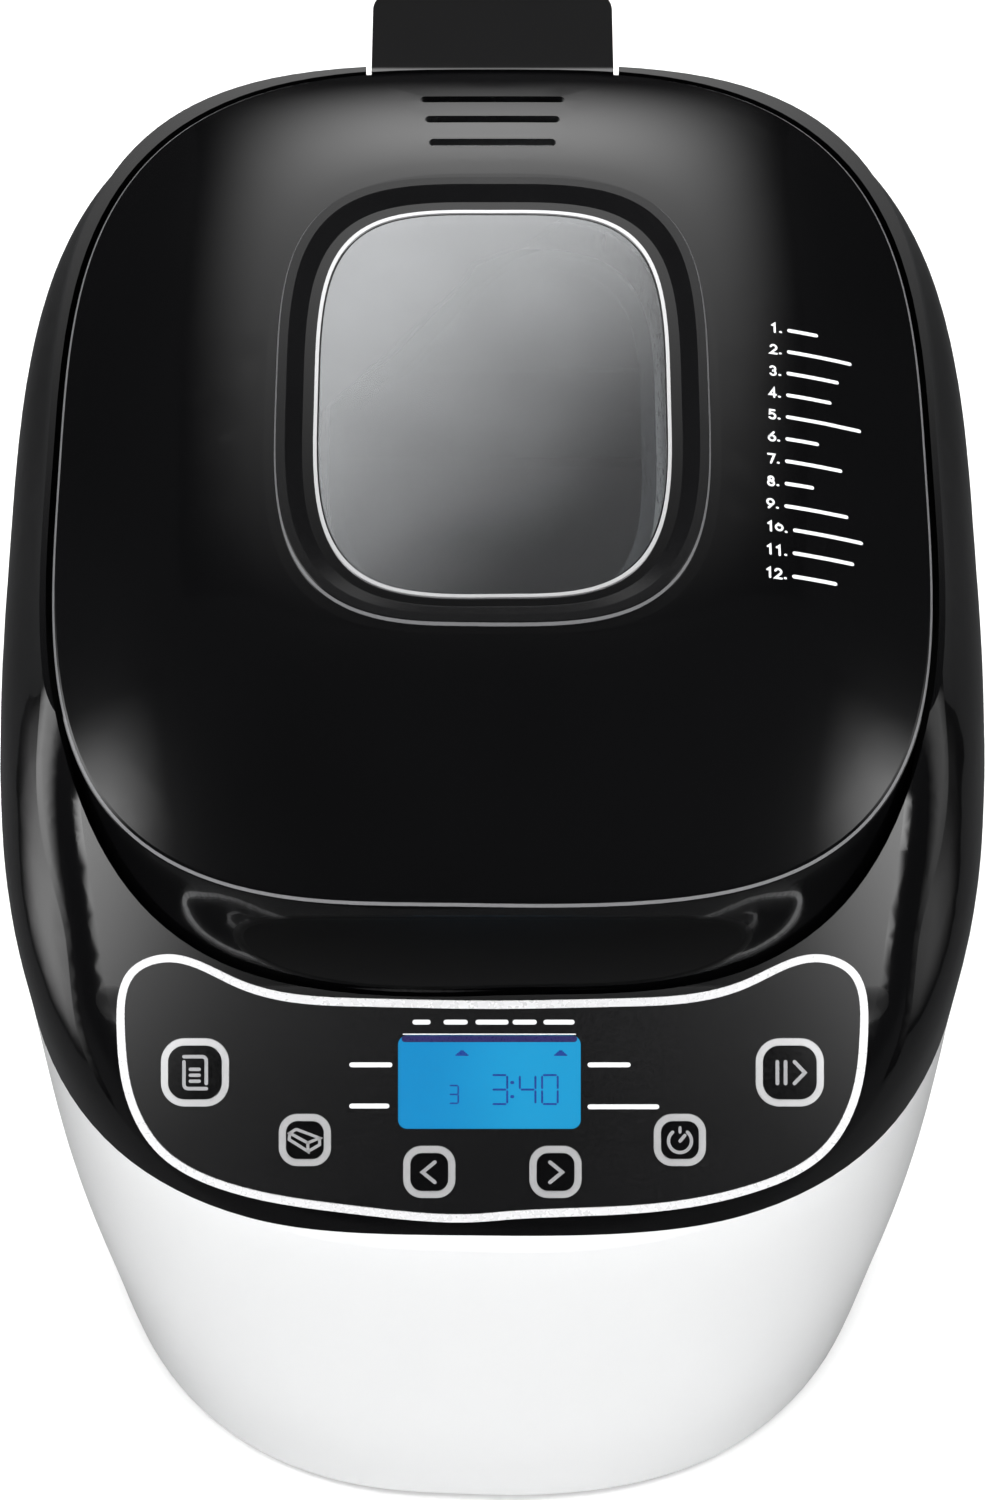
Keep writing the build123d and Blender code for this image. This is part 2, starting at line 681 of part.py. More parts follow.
def drive_belt():
    """A flat belt round both pulleys: two arcs and the two straight runs that touch them."""
    x1, y1 = MOTOR_AT
    dx, dy = x1, y1 - PAN_Y
    span = math.hypot(dx, dy)
    heading = math.degrees(math.atan2(dy, dx))

    def loop(grow):
        big = BIG_PULLEY_RADIUS + 0.25 + grow
        small = SMALL_PULLEY_RADIUS + 0.25 + grow
        lean = math.acos((big - small) / span)
        a = (big * math.cos(lean), big * math.sin(lean))
        b = (span + small * math.cos(lean), small * math.sin(lean))
        edges = [
            Line(a, b),
            ThreePointArc(b, (span + small, 0), (b[0], -b[1])),
            Line((b[0], -b[1]), (a[0], -a[1])),
            ThreePointArc((a[0], -a[1]), (-big, 0), a),
        ]
        return make_face(edges)

    band = extrude(loop(1.3) - loop(0.0), BELT_WIDTH)
    return Pos(0, PAN_Y, PULLEY_Z - BELT_WIDTH / 2) * Rot(0, 0, heading) * band


def motor():
    """The drive motor: a can with end bells and four stand-offs to the chassis."""
    x, y = MOTOR_AT
    body = rod(31, 62, 112, x, y)
    body += rod(27, 59.5, 62, x, y) + rod(27, 112, 118, x, y) + rod(9, 118, 122, x, y)
    for turn in range(4):
        place = Pos(x, y, 0) * Rot(0, 0, 90 * turn + 45)
        body += place * box_between((24, -5, 62), (42, 5, 65))
        body += place * rod(4.5, 58.5, 62, 37, 0)
    for k in range(12):
        body -= Pos(x, y, 0) * Rot(0, 0, 30 * k + 15) * box_between((30, -2.5, 72), (34, 2.5, 102))
    return body - rod(2.6, 40, 100, x, y)


def motor_shaft():
    return rod(2.5, 18, 99, *MOTOR_AT)


def run_capacitor():
    can = Pos(-46, -106, 0) * RectangleRounded(48, 24, 5)
    foot = Pos(-46, -106, 0) * RectangleRounded(62, 18, 3)
    return extrude(Pos(0, 0, 58.5) * can, 32) + extrude(Pos(0, 0, 58.5) * foot, 2)


# ---- pan ----------------------------------------------------------------------------------------
def pan_form(inset, bottom, top):
    """A tapered rounded box between two heights."""
    share = (top - bottom) / (PAN_RIM_Z - PAN_BASE_Z)
    bx, by = PAN_BASE_HALF
    rx, ry = PAN_RIM_HALF
    low = Pos(0, PAN_Y, bottom) * RectangleRounded(2 * (bx - inset), 2 * (by - inset), 20 - inset)
    tx, ty = bx + (rx - bx) * share, by + (ry - by) * share
    high = Pos(0, PAN_Y, top) * RectangleRounded(2 * (tx - inset), 2 * (ty - inset), 20 - inset)
    return loft([low, high])


def baking_pan():
    rx, ry = PAN_RIM_HALF
    pan = pan_form(0, PAN_BASE_Z, PAN_RIM_Z)
    pan += rounded_prism(rx + 2.2, ry + 2.2, 22, PAN_RIM_Z - 2.5, PAN_RIM_Z)
    pan -= pan_form(PAN_WALL, PAN_BASE_Z + PAN_WALL, PAN_RIM_Z + 0.01)
    pan -= rounded_prism(rx - PAN_WALL, ry - PAN_WALL, 18, PAN_RIM_Z - 0.5, PAN_RIM_Z + 5)
    pan += rod(30.0, 64.5, PAN_BASE_Z + 0.5) - rod(26.5, 50, PAN_BASE_Z)
    pan += rod(11, PAN_BASE_Z - 1.5, 86)
    for side in (-1, 1):
        low = min(side * (rx - 1.5), side * (rx + 4.4))
        pan += box_between((low, PAN_Y - 7, 174), (low + 5.9, PAN_Y + 7, 184))
    for side in (-1, 1):
        low = min(side * (rx - 1.1), side * 100)
        pan -= cross_rod(HANDLE_WIRE + 0.06, low, low + 101.1 - rx, PAN_Y, HANDLE_PIVOT_Z)
    return pan - rod(7.0, 40, 120)


def shaft_bush():
    """The sealed bush in the pan's boss."""
    return rod(7.0, PAN_BASE_Z - 1.5, 86) + rod(9, 86, 87) - rod(SHAFT_RADIUS + 0.05, 40, 120)


def blade_shaft():
    """The pan's own shaft: a disc with two pegs that the lower dog drives, and the paddle's spigot."""
    shaft = rod(SHAFT_RADIUS, 69.8, 112) + rod(21, 69.8, 71.8)
    for side in (-1, 1):
        shaft += rod(3.2, 64.8, 69.8, 0, PAN_Y + side * 15)
    return shaft


def pan_handle():
    """A bent wire bail that folds forward on to the rim."""
    rx = PAN_RIM_HALF[0]
    z = HANDLE_PIVOT_Z
    x_out = rx + 8.0
    half = [
        (rx - 1.0, PAN_Y, z),
        (x_out, PAN_Y, z),
        (x_out, PAN_Y - 30, z + 4),
        (x_out - 6, PAN_Y - HANDLE_ARM, z + 10),
    ]
    route = half + [(-x, y, level) for x, y, level in reversed(half)]
    path = FilletPolyline(*route, radius=3.4)
    return sweep(Plane(path @ 0, z_dir=path % 0) * Circle(HANDLE_WIRE), path)


def paddle():
    """The kneading blade: a hub with a D bore and one swept fin."""
    hub = Pos(0, PAN_Y, 88) * extrude(Circle(9.5), 22, taper=4)
    outline = Polyline((2, -6), (42, -3), (45, 1), (40, 3.5), (2, 6), close=True)
    fin = Pos(0, PAN_Y, 88) * extrude(make_face(outline), 17, taper=5)
    return hub + fin - rod(SHAFT_RADIUS + 0.08, 60, 140)


def base_screws():
    pieces = []
    for x, y in SCREW_PLACES:
        head = Pos(x, y, 3.0) * extrude(Circle(3.6), 1.2)
        shank = Pos(x, y, 4.2) * extrude(Circle(1.55), 10)
        pieces.append(head + shank)
    return Compound(children=pieces)


def main():
    os.makedirs("parts", exist_ok=True)
    save("lower_casing", lower_casing())
    save("upper_housing", upper_housing())
    save("base_plate", base_plate())
    for number, (x, y) in enumerate(FOOT_PLACES, 1):
        save("rubber_foot_" + str(number), rubber_foot(x, y))
    save("base_screws", base_screws())
    save("cord_gland", cord_gland())
    save("panel_trim_ring", panel_trim_ring())
    save("control_fascia", control_fascia())
    for name, x, v, size, radius in BUTTONS:
        save("button_frame_" + name, button_frame(x, v, size, radius))
        save("button_cap_" + name, button_cap(x, v, size, radius))
    save("display_window", display_window())
    save("display_module", display_module())
    save("control_board", control_board())
    save("power_board", power_board())
    save("lid_shell", lid_shell())
    save("window_frame", window_frame())
    save("window_trim", window_trim())
    save("outer_glass", outer_glass())
    save("lid_liner", lid_liner())
    save("inner_glass", inner_glass())
    save("lid_hinge_pin", lid_hinge_pin())
    save("chamber", chamber())
    save("pan_socket", pan_socket())
    save("heating_element", heating_element())
    save("element_brackets", element_brackets())
    save("temperature_sensor", temperature_sensor())
    save("chassis_plate", chassis_plate())
    save("bearing", bearing())
    save("drive_shaft", drive_shaft())
    save("drive_coupling", drive_coupling())
    save("large_pulley", large_pulley())
    save("motor_pulley", motor_pulley())
    save("drive_belt", drive_belt())
    save("motor", motor())
    save("motor_shaft", motor_shaft())
    save("run_capacitor", run_capacitor())
    save("baking_pan", baking_pan())
    save("shaft_bush", shaft_bush())
    save("blade_shaft", blade_shaft())
    save("pan_handle", pan_handle())
    save("paddle", paddle())


main()
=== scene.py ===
"""Looks for the bread machine: materials, printed marks, lights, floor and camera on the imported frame."""

import math

import bmesh
import bpy
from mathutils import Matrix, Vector
from mathutils.bvhtree import BVHTree


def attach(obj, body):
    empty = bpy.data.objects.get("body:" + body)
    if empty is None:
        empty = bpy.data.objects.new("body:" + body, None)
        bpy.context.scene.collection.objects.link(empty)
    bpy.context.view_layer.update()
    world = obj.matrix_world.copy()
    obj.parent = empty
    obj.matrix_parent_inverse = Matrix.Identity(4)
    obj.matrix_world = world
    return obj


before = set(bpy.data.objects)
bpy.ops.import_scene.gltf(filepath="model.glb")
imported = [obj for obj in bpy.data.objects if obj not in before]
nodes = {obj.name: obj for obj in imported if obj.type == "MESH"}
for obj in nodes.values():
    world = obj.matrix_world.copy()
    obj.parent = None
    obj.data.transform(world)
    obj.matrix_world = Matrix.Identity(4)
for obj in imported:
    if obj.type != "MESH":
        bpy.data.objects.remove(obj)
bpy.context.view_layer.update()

MM = 0.001

# The camera, in metres.
LENS = 93.99
SENSOR_WIDTH = 36.0
CAMERA_PLACE = (0.0003, -0.7577, 1.0546)
CAMERA_TILT = math.radians(40.0)

# What the lights and cards point at, in metres.
FOOT_AIM = (0.0, 0.0, 0.1)
BODY_AIM = (0.0, 0.0, 0.2)
CROWN_AIM = (0.0, 0.13, 0.28)
PANEL_AIM = (0.0, -0.15, 0.19)

# The round grip under the lid's front edge: its axis in y and z, and its radius, in metres.
GRIP_AXIS = (-0.1475, 0.221)
GRIP_RADIUS = 0.024
# Where the lid's matt rear tongue starts, and a place past the rear of everything.
TONGUE_FRONT = 0.1465
PAST_REAR = 1.0

# The control panel's plane, and heights above it in millimetres.
PANEL_ORIGIN = Vector((0.0, -177.0, 164.3)) * MM
PANEL_ANGLE = math.radians(40.0)
PANEL_UP = Vector((0.0, math.cos(PANEL_ANGLE), math.sin(PANEL_ANGLE)))
PANEL_OUT = Vector((0.0, -math.sin(PANEL_ANGLE), math.cos(PANEL_ANGLE)))
FASCIA_TOP = 0.0
CAP_TOP = 1.3
DISPLAY_TOP = -0.3
PRINT_LIFT = 0.03
PRINT_THICKNESS = 0.05
BUTTON_CENTRES = {
    "menu": (-80.1, 40.6),
    "start": (80.1, 40.6),
    "loaf": (-50.5, 22.4),
    "timer": (50.5, 22.4),
    "less": (-17.0, 13.8),
    "more": (17.0, 13.8),
}
FRAME_BEVEL = 0.45

# The part of a noise texture's output that holds nearly all its values.
NOISE_SPAN = (0.3, 0.7)
BUMP_DEPTH = 0.0002


# ---- node helpers -------------------------------------------------------------------------------
def link(tree, out, target):
    tree.links.new(out, target)


def object_place(tree):
    """The place on the piece in its own frame, in metres."""
    return tree.nodes.new("ShaderNodeTexCoord").outputs["Object"]


def split_axes(tree, vector):
    split = tree.nodes.new("ShaderNodeSeparateXYZ")
    link(tree, vector, split.inputs[0])
    return split.outputs


def remap(tree, value, source, result, smooth=False):
    """Turns the span source of a value into the span result, clamped at both ends."""
    span = tree.nodes.new("ShaderNodeMapRange")
    if smooth:
        span.interpolation_type = "SMOOTHSTEP"
    span.inputs["From Min"].default_value = source[0]
    span.inputs["From Max"].default_value = source[1]
    span.inputs["To Min"].default_value = result[0]
    span.inputs["To Max"].default_value = result[1]
    link(tree, value, span.inputs["Value"])
    return span.outputs["Result"]


def calculate(tree, operation, *values):
    """A Math node; each value is a socket to link or a number to set."""
    step = tree.nodes.new("ShaderNodeMath")
    step.operation = operation
    for index, value in enumerate(values):
        if isinstance(value, (int, float)):
            step.inputs[index].default_value = value
        else:
            link(tree, value, step.inputs[index])
    return step.outputs[0]


def noise(tree, place, scale, detail):
    texture = tree.nodes.new("ShaderNodeTexNoise")
    texture.inputs["Scale"].default_value = scale
    texture.inputs["Detail"].default_value = detail
    link(tree, place, texture.inputs["Vector"])
    return texture.outputs["Fac"]


def opaque(color, factor=1.0, lift=0.0):
    """A colour with alpha, its channels scaled, lifted and kept to 1."""
    return tuple(min(1.0, channel * factor + lift) for channel in color) + (1.0,)


# ---- camera and studio --------------------------------------------------------------------------
def make_camera():
    data = bpy.data.cameras.new("camera")
    data.lens = LENS
    data.sensor_width = SENSOR_WIDTH
    data.clip_start = 0.01
    data.clip_end = 50.0
    camera = bpy.data.objects.new("camera", data)
    camera.location = CAMERA_PLACE
    camera.rotation_euler = (CAMERA_TILT, 0.0, 0.0)
    bpy.context.scene.collection.objects.link(camera)
    bpy.context.scene.camera = camera


def fill_light(name, place, aim, width, height, watts):
    """A soft light that brightens matt surfaces and leaves no mark in the gloss."""
    data = bpy.data.lights.new(name, "AREA")
    data.shape = "RECTANGLE"
    data.size = width
    data.size_y = height
    data.energy = watts
    lamp = bpy.data.objects.new(name, data)
    lamp.location = place
    lamp.rotation_euler = (Vector(aim) - Vector(place)).to_track_quat("-Z", "Y").to_euler()
    lamp.visible_camera = False
    lamp.visible_glossy = False
    bpy.context.scene.collection.objects.link(lamp)


def fading_glow(name, half_width, half_height, strength, soft):
    """Light that is even in the middle of a card and fades out towards its edges."""
    material = bpy.data.materials.new(name)
    material.use_nodes = True
    tree = material.node_tree
    tree.nodes.clear()
    axes = split_axes(tree, object_place(tree))
    fades = []
    for axis, half in (("X", half_width), ("Y", half_height)):
        distance = calculate(tree, "ABSOLUTE", axes[axis])
        fades.append(remap(tree, distance, (half * (1.0 - soft), half), (1.0, 0.0), smooth=True))
    power = calculate(tree, "MULTIPLY", calculate(tree, "MULTIPLY", *fades), strength)
    glow = tree.nodes.new("ShaderNodeEmission")
    link(tree, power, glow.inputs["Strength"])
    out = tree.nodes.new("ShaderNodeOutputMaterial")
    link(tree, glow.outputs[0], out.inputs["Surface"])
    return material


def card(name, place, aim, width, height, strength, soft=0.8):
    """A studio card with soft edges, seen only in reflections and by its light."""
    mesh = bpy.data.meshes.new(name)
    x, y = width / 2, height / 2
    mesh.from_pydata([(-x, -y, 0), (x, -y, 0), (x, y, 0), (-x, y, 0)], [], [(0, 1, 2, 3)])
    mesh.materials.append(fading_glow(name, x, y, strength, soft))
    piece = bpy.data.objects.new(name, mesh)
    piece.location = place
    piece.rotation_euler = (Vector(aim) - Vector(place)).to_track_quat("Z", "Y").to_euler()
    piece.visible_camera = False
    bpy.context.scene.collection.objects.link(piece)


def make_world():
    """A dim studio, a little brighter near the horizon, so gloss black stays black."""
    world = bpy.data.worlds.new("studio")
    bpy.context.scene.world = world
    world.use_nodes = True
    tree = world.node_tree
    tree.nodes.clear()
    place = tree.nodes.new("ShaderNodeTexCoord")
    height = split_axes(tree, place.outputs["Generated"])["Z"]
    sky = tree.nodes.new("ShaderNodeBackground")
    sky.inputs["Color"].default_value = (0.97, 0.98, 1.0, 1.0)
    link(tree, remap(tree, height, (0.0, 0.35), (0.06, 0.02), smooth=True), sky.inputs["Strength"])
    out = tree.nodes.new("ShaderNodeOutputWorld")
    link(tree, sky.outputs[0], out.inputs["Surface"])


def make_lights():
    """Fills for the matt casing, then the cards that the gloss black mirrors; sizes in metres."""
    fill_light("top_fill", (0.0, -0.4, 2.2), (0.0, -0.05, 0.1), 1.8, 1.8, 82.0)
    fill_light("front_fill", (0.0, -2.0, 0.6), FOOT_AIM, 2.2, 0.8, 2.5)
    fill_light("left_fill", (-1.8, -0.3, 0.8), FOOT_AIM, 1.2, 1.0, 8.0)
    fill_light("right_fill", (1.8, -0.3, 0.8), FOOT_AIM, 1.2, 1.0, 8.0)
    card("rear_card", (0.0, 1.05, 1.32), CROWN_AIM, 1.10, 1.45, 2.4, soft=1.0)
    card("left_card", (-1.3, 0.0, 0.3), BODY_AIM, 1.3, 2.0, 1.6)
    card("right_card", (1.3, 0.0, 0.4), BODY_AIM, 1.3, 1.9, 0.5)
    card("left_top_card", (-0.85, -0.20, 1.30), BODY_AIM, 0.9, 1.0, 4.2)
    card("right_top_card", (0.85, -0.20, 1.30), BODY_AIM, 0.9, 1.0, 4.6)
    card("left_panel_card", (-0.32, -0.80, 1.09), PANEL_AIM, 0.44, 0.5, 4.0)
    card("right_panel_card", (0.32, -0.80, 1.09), PANEL_AIM, 0.44, 0.5, 4.0)


# ---- materials ----------------------------------------------------------------------------------
def shaded(name, color, rough, spread=0.05, mottle=0.05, mottle_scale=14.0, grain=700.0, bump=0.05,
           stretch=(1.0, 1.0, 1.0), edge=0.0, **sockets):
    """A Principled material with slow colour variation, fine roughness variation and a fine bump.

    Any other keyword sets the shader's own socket of that name, with _ for each space.
    """
    material = bpy.data.materials.new(name)
    material.use_nodes = True
    tree = material.node_tree
    shader = tree.nodes["Principled BSDF"]
    scale = tree.nodes.new("ShaderNodeMapping")
    scale.inputs["Scale"].default_value = stretch
    link(tree, object_place(tree), scale.inputs["Vector"])
    ramp = tree.nodes.new("ShaderNodeValToRGB")
    for element, position, factor in zip(ramp.color_ramp.elements, NOISE_SPAN, (1.0 - mottle, 1.0 + mottle)):
        element.position = position
        element.color = opaque(color, factor)
    link(tree, noise(tree, scale.outputs[0], mottle_scale, 3.0), ramp.inputs["Fac"])
    base = ramp.outputs["Color"]
    if edge:
        base = edge_wear(tree, base, color, edge)
    link(tree, base, shader.inputs["Base Color"])
    fine = noise(tree, scale.outputs[0], grain, 2.0)
    roughness = remap(tree, fine, NOISE_SPAN, (max(0.01, rough - spread), min(1.0, rough + spread)))
    link(tree, roughness, shader.inputs["Roughness"])
    relief = tree.nodes.new("ShaderNodeBump")
    relief.inputs["Strength"].default_value = bump
    relief.inputs["Distance"].default_value = BUMP_DEPTH
    link(tree, fine, relief.inputs["Height"])
    link(tree, relief.outputs["Normal"], shader.inputs["Normal"])
    for socket, value in sockets.items():
        shader.inputs[socket.replace("_", " ")].default_value = value
    return material


def blend(tree, factor, base, color):
    """The base colour with another laid over it where the factor is high."""
    mix = tree.nodes.new("ShaderNodeMixRGB")
    mix.inputs["Color2"].default_value = color
    link(tree, factor, mix.inputs["Fac"])
    link(tree, base, mix.inputs["Color1"])
    return mix.outputs["Color"]


def edge_wear(tree, base, color, amount):
    """Rubbed edges: a lighter tone where the surface is sharply convex."""
    shape = tree.nodes.new("ShaderNodeNewGeometry")
    wear = remap(tree, shape.outputs["Pointiness"], (0.52, 0.62), (0.0, amount))
    return blend(tree, wear, base, opaque(color, 1.5, 0.05))


def glass_with_painted_glare():
    """Window glass with a pale haze as of condensation, laid on as a painted glare: brightest at the rear
    left, clearing towards the front right.
    """
    material = shaded("window_glass", (0.48, 0.49, 0.50), 0.05, 0.02, 0.03, 30.0, 260.0, 0.01,
                      Transmission_Weight=1.0, IOR=1.5)
    tree = material.node_tree
    place = object_place(tree)
    axes = split_axes(tree, place)
    # Painted glare: the glass turns to a pale haze towards the rear left, where the glare stands.
    lean = calculate(tree, "MULTIPLY_ADD", axes["X"], -1.1, axes["Y"])
    drift = calculate(tree, "MULTIPLY_ADD", noise(tree, place, 16.0, 4.0), 0.05, lean)
    clear = remap(tree, drift, (-0.03, 0.16), (0.97, 0.55), smooth=True)
    link(tree, clear, tree.nodes["Principled BSDF"].inputs["Transmission Weight"])
    return material


def backlit_display():
    """A backlit blue display that is deeper blue at its left end."""
    material = shaded("display_blue", (0.004, 0.10, 0.20), 0.16, 0.03, 0.03, 60.0, 900.0, 0.01,
                      Coat_Weight=0.4)
    tree = material.node_tree
    shader = tree.nodes["Principled BSDF"]
    axes = split_axes(tree, object_place(tree))
    across = remap(tree, axes["X"], (-0.020, 0.012), (0.0, 1.0), smooth=True)
    ramp = tree.nodes.new("ShaderNodeValToRGB")
    ramp.color_ramp.elements[0].color = (0.010, 0.252, 0.630, 1.0)
    ramp.color_ramp.elements[1].color = (0.022, 0.405, 0.760, 1.0)
    link(tree, across, ramp.inputs["Fac"])
    link(tree, ramp.outputs["Color"], shader.inputs["Emission Color"])
    shader.inputs["Emission Strength"].default_value = 0.45
    return material


def grip_black(name, matt_from):
    """Gloss black that turns matt in the grip under the lid's front edge and behind matt_from."""
    gloss_rough, matt_rough = 0.16, 0.85
    material = shaded(name, (0.0016, 0.0016, 0.0018), gloss_rough, 0.03, 0.2, 12.0, 600.0, 0.006,
                      Coat_Weight=1.0, Coat_Roughness=0.03, IOR=1.5)
    tree = material.node_tree
    shader = tree.nodes["Principled BSDF"]
    place = object_place(tree)
    away = tree.nodes.new("ShaderNodeVectorMath")
    away.operation = "MULTIPLY_ADD"
    away.inputs[1].default_value = (0.0, 1.0, 1.0)
    away.inputs[2].default_value = (0.0, -GRIP_AXIS[0], -GRIP_AXIS[1])
    link(tree, place, away.inputs[0])
    reach = tree.nodes.new("ShaderNodeVectorMath")
    reach.operation = "LENGTH"
    link(tree, away.outputs[0], reach.inputs[0])
    lip = (GRIP_RADIUS + 0.3 * MM, GRIP_RADIUS + 1.0 * MM)
    outside = remap(tree, reach.outputs["Value"], lip, (0.0, 1.0))
    ahead = remap(tree, split_axes(tree, place)["Y"], (matt_from, matt_from + MM), (1.0, 0.0))
    shine = calculate(tree, "MULTIPLY", outside, ahead)
    link(tree, shine, shader.inputs["Coat Weight"])
    link(tree, remap(tree, shine, (0.0, 1.0), (matt_rough, gloss_rough)), shader.inputs["Roughness"])
    return material


def solder_board():
    """Green board with a pattern of tracks under the mask."""
    material = shaded("board_green", (0.03, 0.20, 0.07), 0.35, 0.08, 0.15, 60.0, 900.0, 0.05)
    tree = material.node_tree
    bricks = tree.nodes.new("ShaderNodeTexBrick")
    bricks.inputs["Scale"].default_value = 160.0
    bricks.inputs["Mortar Size"].default_value = 0.06
    bricks.inputs["Color1"].default_value = (0.02, 0.16, 0.05, 1.0)
    bricks.inputs["Color2"].default_value = (0.03, 0.22, 0.08, 1.0)
    bricks.inputs["Mortar"].default_value = (0.10, 0.36, 0.14, 1.0)
    link(tree, object_place(tree), bricks.inputs["Vector"])
    link(tree, bricks.outputs["Color"], tree.nodes["Principled BSDF"].inputs["Base Color"])
    return material


def coated_pan():
    """Non-stick coating: dark, satin, with fine pale flecks."""
    material = shaded("pan_coating", (0.045, 0.045, 0.05), 0.36, 0.06, 0.15, 30.0, 1400.0, 0.12, edge=0.5,
                      Coat_Weight=0.2)
    tree = material.node_tree
    shader = tree.nodes["Principled BSDF"]
    cells = tree.nodes.new("ShaderNodeTexVoronoi")
    cells.inputs["Scale"].default_value = 420.0
    link(tree, object_place(tree), cells.inputs["Vector"])
    fleck = remap(tree, cells.outputs["Distance"], (0.10, 0.16), (0.55, 0.0))
    base = shader.inputs["Base Color"].links[0].from_socket
    link(tree, blend(tree, fleck, base, (0.35, 0.35, 0.36, 1.0)), shader.inputs["Base Color"])
    return material


def make_materials():
    gloss = {"Coat_Weight": 1.0, "Coat_Roughness": 0.03, "IOR": 1.5}
    return {
        "white_casing": shaded("white_casing", (0.82, 0.825, 0.83), 0.30, 0.02, 0.012, 6.0, 260.0, 0.004,
                               Coat_Weight=0.35, Coat_Roughness=0.12),
        "black_housing": grip_black("black_housing", PAST_REAR),
        "black_fascia": shaded("black_fascia", (0.003, 0.003, 0.0033), 0.22, 0.03, 0.2, 20.0, 900.0, 0.006,
                               Coat_Weight=0.6, Coat_Roughness=0.10),
        "base_plastic": shaded("base_plastic", (0.06, 0.06, 0.062), 0.55, 0.08, 0.1, 30.0, 1500.0, 0.3),
        "foot_rubber": shaded("foot_rubber", (0.025, 0.025, 0.025), 0.8, 0.08, 0.15, 60.0, 1800.0, 0.5),
        "silver_trim": shaded("silver_trim", (0.74, 0.74, 0.75), 0.28, 0.03, 0.02, 20.0, 500.0, 0.004,
                              Metallic=0.30, Coat_Weight=0.5, Coat_Roughness=0.1),
        "button_black": shaded("button_black", (0.0016, 0.0016, 0.0018), 0.12, 0.03, 0.2, 30.0, 900.0, 0.01,
                               **gloss),
        "display_blue": backlit_display(),
        "display_body": shaded("display_body", (0.06, 0.06, 0.065), 0.5, 0.08, 0.1, 50.0, 1500.0, 0.2),
        "board_green": solder_board(),
        "lid_black": grip_black("lid_black", TONGUE_FRONT),
        "window_glass": glass_with_painted_glare(),
        "liner_metal": shaded("liner_metal", (0.70, 0.71, 0.72), 0.34, 0.10, 0.05, 6.0, 260.0, 0.06,
                              stretch=(18.0, 1.0, 1.0), Metallic=1.0),
        "chamber_metal": shaded("chamber_metal", (0.58, 0.58, 0.59), 0.36, 0.10, 0.10, 5.0, 200.0, 0.08,
                                stretch=(1.0, 1.0, 14.0), Metallic=1.0),
        "steel": shaded("steel", (0.62, 0.62, 0.63), 0.26, 0.08, 0.05, 30.0, 500.0, 0.04, edge=0.4,
                        Metallic=1.0),
        "element_steel": shaded("element_steel", (0.16, 0.14, 0.13), 0.5, 0.10, 0.25, 40.0, 700.0, 0.15,
                                Metallic=0.9),
        "pan_coating": coated_pan(),
        "brass": shaded("brass", (0.72, 0.52, 0.24), 0.28, 0.07, 0.06, 30.0, 500.0, 0.04, edge=0.4,
                        Metallic=1.0),
        "pulley_plastic": shaded("pulley_plastic", (0.72, 0.71, 0.67), 0.45, 0.06, 0.04, 30.0, 900.0, 0.15),
        "belt_rubber": shaded("belt_rubber", (0.02, 0.02, 0.02), 0.7, 0.08, 0.15, 60.0, 1500.0, 0.4),
        "motor_steel": shaded("motor_steel", (0.42, 0.43, 0.45), 0.36, 0.08, 0.06, 20.0, 500.0, 0.08,
                              edge=0.4, Metallic=1.0),
        "capacitor_plastic": shaded("capacitor_plastic", (0.78, 0.78, 0.75), 0.4, 0.06, 0.03, 30.0, 900.0,
                                    0.1),
        "print_white": shaded("print_white", (0.66, 0.67, 0.68), 0.5, 0.06, 0.04, 200.0, 2500.0, 0.10),
        # A grey for the painted highlights along the lid's and the window frame's edges.
        "painted_highlight_grey": shaded("painted_highlight_grey", (0.16, 0.16, 0.165), 0.30, 0.05, 0.04, 200.0, 2500.0, 0.05),
        "icon_silver": shaded("icon_silver", (0.46, 0.46, 0.47), 0.35, 0.05, 0.05, 200.0, 2500.0, 0.05,
                              Metallic=0.6),
        "lcd_ink": shaded("lcd_ink", (0.004, 0.035, 0.20), 0.3, 0.05, 0.10, 200.0, 2500.0, 0.02),
        # A navy for the painted shadow along the display's upper edge.
        "lcd_painted_shadow_navy": shaded("lcd_painted_shadow_navy", (0.012, 0.010, 0.075), 0.3, 0.05, 0.10, 200.0, 2500.0, 0.02),
        "chrome": shaded("chrome", (0.84, 0.84, 0.85), 0.18, 0.03, 0.02, 30.0, 1200.0, 0.01,
                         Metallic=0.68),
        "gland_black": shaded("gland_black", (0.02, 0.02, 0.021), 0.5, 0.08, 0.12, 60.0, 1500.0, 0.3),
    }


OWN_MATERIALS = {"window_trim": "chrome", "cord_gland": "gland_black", "lid_shell": "lid_black"}


def material_name(name, piece):
    """The node's own material here, or the one of its packed slot."""
    if name.startswith("button_frame"):
        return "chrome"
    packed = [slot.material.name.split(".")[0] for slot in piece.material_slots if slot.material]
    return OWN_MATERIALS.get(name, packed[0] if packed else "base_plastic")


def soften_edges(piece):
    bevel = piece.modifiers.new("soft_edges", "BEVEL")
    bevel.width = FRAME_BEVEL * MM
    bevel.segments = 3
    bevel.limit_method = "ANGLE"


def dress_nodes(materials):
    """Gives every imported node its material, and the buttons' frames soft edges."""
    for name, piece in nodes.items():
        material = materials[material_name(name, piece)]
        if not piece.material_slots:
            piece.data.materials.append(material)
        if name.startswith("button_frame"):
            soften_edges(piece)
        for slot in piece.material_slots:
            slot.link = "OBJECT"
            slot.material = material


# ---- printed marks ------------------------------------------------------------------------------
def on_panel(top):
    """Places a point at x across and v up the panel, on a surface that is top above its plane."""
    def place(x, v):
        return PANEL_ORIGIN + Vector((x * MM, 0.0, 0.0)) + PANEL_UP * (v * MM) + PANEL_OUT * (top * MM)
    return place


RAY_START = 0.5


